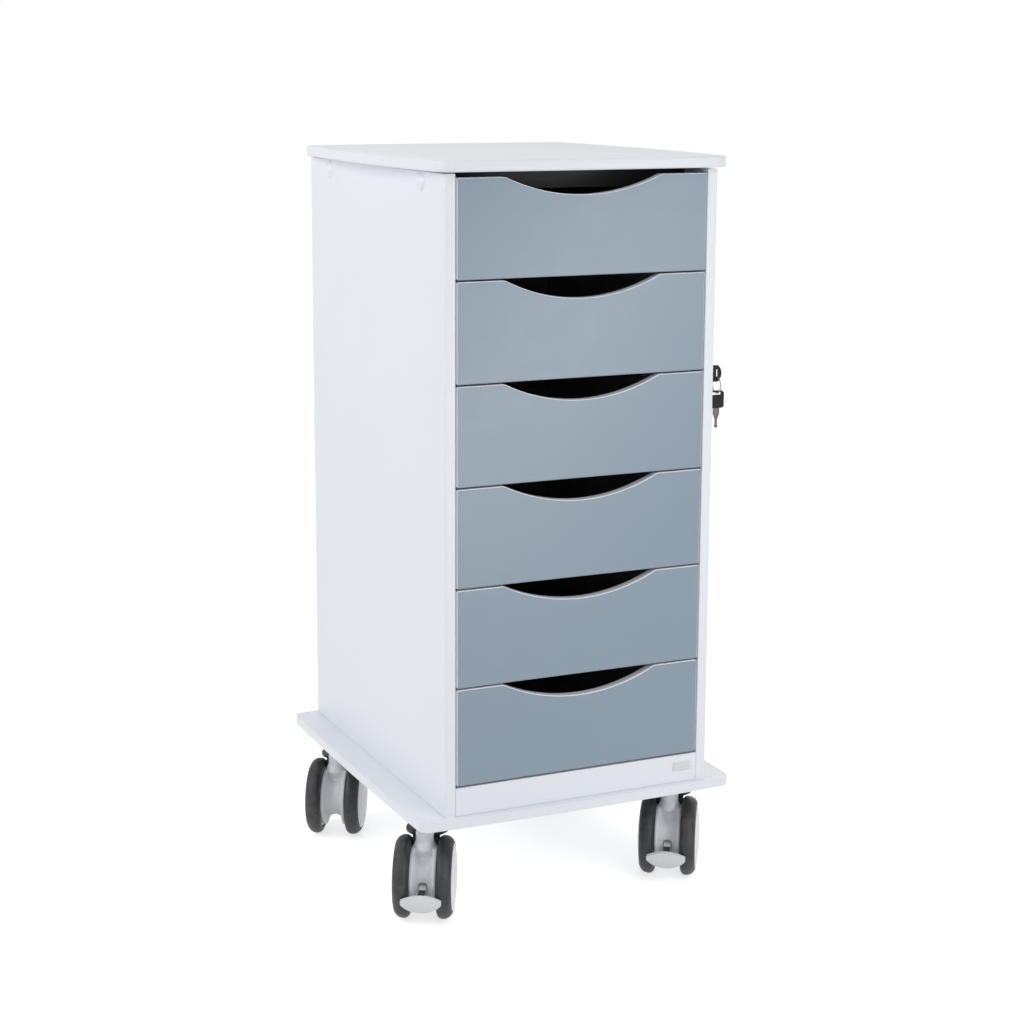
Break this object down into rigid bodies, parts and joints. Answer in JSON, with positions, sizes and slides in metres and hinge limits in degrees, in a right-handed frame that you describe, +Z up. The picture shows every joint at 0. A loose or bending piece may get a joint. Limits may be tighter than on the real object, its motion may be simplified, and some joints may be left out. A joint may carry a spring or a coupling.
{
  "type": "instrument cart",
  "caption": "Tall narrow cabinet of stacked drawers on swivel casters, with overhanging top and base panels, finger scoops, a side lock and brakes on the front casters.",
  "frame": {"origin": "on the floor, under the middle of the cabinet body", "axes": "+Z up; -Y towards the front, where the drawers open; +X towards the side that carries the lock"},
  "size_m": [0.4588, 0.4854, 0.9155],
  "materials": {
    "white_board": "satin white laminated board",
    "blue_grey_front": "satin blue-grey laminated board",
    "dark_tray": "matte moulded plastic",
    "dark_rail": "matte dark stained board",
    "slide_steel": "zinc plated",
    "screw_steel": "zinc plated",
    "nickel": "nickel plated",
    "key_plastic": "matte black moulded plastic",
    "cap_plastic": "white moulded plastic",
    "plate_metal": "satin, blank",
    "caster_plastic": "light grey moulded nylon",
    "caster_plate": "black",
    "tyre": "dark grey elastomer tread"
  },
  "bodies": {
    "cabinet": {"top_panel": "white_board", "left_side_panel": "white_board", "right_side_panel": "white_board", "back_panel": "white_board", "base_panel": "white_board", "front_rail": "white_board", "cross_rails": "dark_rail", "screw_caps": "cap_plastic", "panel_screws": "screw_steel", "name_plate": "plate_metal", "slide_outer_members": "slide_steel", "lock_housing": "nickel", "lock_nut": "screw_steel", "caster_plates": "caster_plate", "caster_screws": "screw_steel", "swivel_pins": "screw_steel"},
    "drawer_1": {"drawer_front_1": "blue_grey_front", "drawer_tray_1": "dark_tray", "slide_inner_1": "slide_steel"},
    "slide_carriage_1": {"slide_middle_1": "slide_steel"},
    "drawer_2": {"drawer_front_2": "blue_grey_front", "drawer_tray_2": "dark_tray", "slide_inner_2": "slide_steel"},
    "slide_carriage_2": {"slide_middle_2": "slide_steel"},
    "drawer_3": {"drawer_front_3": "blue_grey_front", "drawer_tray_3": "dark_tray", "slide_inner_3": "slide_steel"},
    "slide_carriage_3": {"slide_middle_3": "slide_steel"},
    "drawer_4": {"drawer_front_4": "blue_grey_front", "drawer_tray_4": "dark_tray", "slide_inner_4": "slide_steel"},
    "slide_carriage_4": {"slide_middle_4": "slide_steel"},
    "drawer_5": {"drawer_front_5": "blue_grey_front", "drawer_tray_5": "dark_tray", "slide_inner_5": "slide_steel"},
    "slide_carriage_5": {"slide_middle_5": "slide_steel"},
    "drawer_6": {"drawer_front_6": "blue_grey_front", "drawer_tray_6": "dark_tray", "slide_inner_6": "slide_steel"},
    "slide_carriage_6": {"slide_middle_6": "slide_steel"},
    "lock_cylinder": {"lock_plug": "nickel", "lock_cam": "screw_steel", "key": "key_plastic"},
    "locking_bar": {"lock_bar": "screw_steel"},
    "key_ring": {"key_ring": "nickel"},
    "spare_key": {"spare_key": "key_plastic"},
    "caster_front_left": {"housing_front_left": "caster_plastic"},
    "wheel_left_front_left": {"wheel_left_front_left": "tyre"},
    "wheel_right_front_left": {"wheel_right_front_left": "tyre"},
    "brake_left": {"brake_pedal_left": "caster_plastic"},
    "caster_front_right": {"housing_front_right": "caster_plastic"},
    "wheel_left_front_right": {"wheel_left_front_right": "tyre"},
    "wheel_right_front_right": {"wheel_right_front_right": "tyre"},
    "brake_right": {"brake_pedal_right": "caster_plastic"},
    "caster_rear_left": {"housing_rear_left": "caster_plastic"},
    "wheel_left_rear_left": {"wheel_left_rear_left": "tyre"},
    "wheel_right_rear_left": {"wheel_right_rear_left": "tyre"},
    "caster_rear_right": {"housing_rear_right": "caster_plastic"},
    "wheel_left_rear_right": {"wheel_left_rear_right": "tyre"},
    "wheel_right_rear_right": {"wheel_right_rear_right": "tyre"}
  },
  "joints": [
    {"name": "drawer_1_slide", "type": "slide", "parent": "cabinet", "child": "drawer_1", "axis": [0, -1, 0], "range_m": [0, 0.36]},
    {"name": "carriage_1_slide", "type": "slide", "parent": "cabinet", "child": "slide_carriage_1", "axis": [0, -1, 0], "range_m": [0, 0.18]},
    {"name": "drawer_2_slide", "type": "slide", "parent": "cabinet", "child": "drawer_2", "axis": [0, -1, 0], "range_m": [0, 0.36]},
    {"name": "carriage_2_slide", "type": "slide", "parent": "cabinet", "child": "slide_carriage_2", "axis": [0, -1, 0], "range_m": [0, 0.18]},
    {"name": "drawer_3_slide", "type": "slide", "parent": "cabinet", "child": "drawer_3", "axis": [0, -1, 0], "range_m": [0, 0.36]},
    {"name": "carriage_3_slide", "type": "slide", "parent": "cabinet", "child": "slide_carriage_3", "axis": [0, -1, 0], "range_m": [0, 0.18]},
    {"name": "drawer_4_slide", "type": "slide", "parent": "cabinet", "child": "drawer_4", "axis": [0, -1, 0], "range_m": [0, 0.36]},
    {"name": "carriage_4_slide", "type": "slide", "parent": "cabinet", "child": "slide_carriage_4", "axis": [0, -1, 0], "range_m": [0, 0.18]},
    {"name": "drawer_5_slide", "type": "slide", "parent": "cabinet", "child": "drawer_5", "axis": [0, -1, 0], "range_m": [0, 0.36]},
    {"name": "carriage_5_slide", "type": "slide", "parent": "cabinet", "child": "slide_carriage_5", "axis": [0, -1, 0], "range_m": [0, 0.18]},
    {"name": "drawer_6_slide", "type": "slide", "parent": "cabinet", "child": "drawer_6", "axis": [0, -1, 0], "range_m": [0, 0.36]},
    {"name": "carriage_6_slide", "type": "slide", "parent": "cabinet", "child": "slide_carriage_6", "axis": [0, -1, 0], "range_m": [0, 0.18]},
    {"name": "key_turn", "type": "hinge", "parent": "cabinet", "child": "lock_cylinder", "pos_m": [0.1775, -0.1885, 0.6447], "axis": [1, 0, 0], "range_deg": [-90, 0]},
    {"name": "locking_bar_slide", "type": "slide", "parent": "cabinet", "child": "locking_bar", "axis": [0, 0, 1], "range_m": [-0.01273, 0]},
    {"name": "key_ring_swing", "type": "hinge", "parent": "lock_cylinder", "child": "key_ring", "pos_m": [0.206, -0.1885, 0.6368], "axis": [1, 0, 0], "range_deg": [-95, 95]},
    {"name": "spare_key_swing", "type": "hinge", "parent": "key_ring", "child": "spare_key", "pos_m": [0.206, -0.1885, 0.6301], "axis": [1, 0, 0], "range_deg": [-50, 50]},
    {"name": "swivel_front_left", "type": "hinge", "parent": "cabinet", "child": "caster_front_left", "pos_m": [-0.171, -0.156, 0.123], "axis": [0, 0, 1], "continuous": true},
    {"name": "roll_left_front_left", "type": "hinge", "parent": "caster_front_left", "child": "wheel_left_front_left", "pos_m": [-0.18884, -0.18955, 0.05], "axis": [0.8829, -0.4695, 0], "continuous": true},
    {"name": "roll_right_front_left", "type": "hinge", "parent": "caster_front_left", "child": "wheel_right_front_left", "pos_m": [-0.18884, -0.18955, 0.05], "axis": [0.8829, -0.4695, 0], "continuous": true},
    {"name": "brake_left_press", "type": "hinge", "parent": "caster_front_left", "child": "brake_left", "pos_m": [-0.18884, -0.18955, 0.05], "axis": [0.8829, -0.4695, 0], "range_deg": [0, 14]},
    {"name": "swivel_front_right", "type": "hinge", "parent": "cabinet", "child": "caster_front_right", "pos_m": [0.171, -0.156, 0.123], "axis": [0, 0, 1], "continuous": true},
    {"name": "roll_left_front_right", "type": "hinge", "parent": "caster_front_right", "child": "wheel_left_front_right", "pos_m": [0.1503, -0.18787, 0.05], "axis": [0.8387, -0.5446, 0], "continuous": true},
    {"name": "roll_right_front_right", "type": "hinge", "parent": "caster_front_right", "child": "wheel_right_front_right", "pos_m": [0.1503, -0.18787, 0.05], "axis": [0.8387, -0.5446, 0], "continuous": true},
    {"name": "brake_right_press", "type": "hinge", "parent": "caster_front_right", "child": "brake_right", "pos_m": [0.1503, -0.18787, 0.05], "axis": [0.8387, -0.5446, 0], "range_deg": [0, 14]},
    {"name": "swivel_rear_left", "type": "hinge", "parent": "cabinet", "child": "caster_rear_left", "pos_m": [-0.171, 0.152, 0.123], "axis": [0, 0, 1], "continuous": true},
    {"name": "roll_left_rear_left", "type": "hinge", "parent": "caster_rear_left", "child": "wheel_left_rear_left", "pos_m": [-0.19, 0.11909, 0.05], "axis": [0.866, -0.5, 0], "continuous": true},
    {"name": "roll_right_rear_left", "type": "hinge", "parent": "caster_rear_left", "child": "wheel_right_rear_left", "pos_m": [-0.19, 0.11909, 0.05], "axis": [0.866, -0.5, 0], "continuous": true},
    {"name": "swivel_rear_right", "type": "hinge", "parent": "cabinet", "child": "caster_rear_right", "pos_m": [0.171, 0.152, 0.123], "axis": [0, 0, 1], "continuous": true},
    {"name": "roll_left_rear_right", "type": "hinge", "parent": "caster_rear_right", "child": "wheel_left_rear_right", "pos_m": [0.15086, 0.11977, 0.05], "axis": [0.848, -0.5299, 0], "continuous": true},
    {"name": "roll_right_rear_right", "type": "hinge", "parent": "caster_rear_right", "child": "wheel_right_rear_right", "pos_m": [0.15086, 0.11977, 0.05], "axis": [0.848, -0.5299, 0], "continuous": true}
  ],
  "couplings": [
    {"joint": "carriage_1_slide", "follows": "drawer_1_slide", "ratio": 0.5},
    {"joint": "carriage_2_slide", "follows": "drawer_2_slide", "ratio": 0.5},
    {"joint": "carriage_3_slide", "follows": "drawer_3_slide", "ratio": 0.5},
    {"joint": "carriage_4_slide", "follows": "drawer_4_slide", "ratio": 0.5},
    {"joint": "carriage_5_slide", "follows": "drawer_5_slide", "ratio": 0.5},
    {"joint": "carriage_6_slide", "follows": "drawer_6_slide", "ratio": 0.5},
    {"joint": "key_turn", "follows": "locking_bar_slide", "rad_per_m": 123.41}
  ]
}
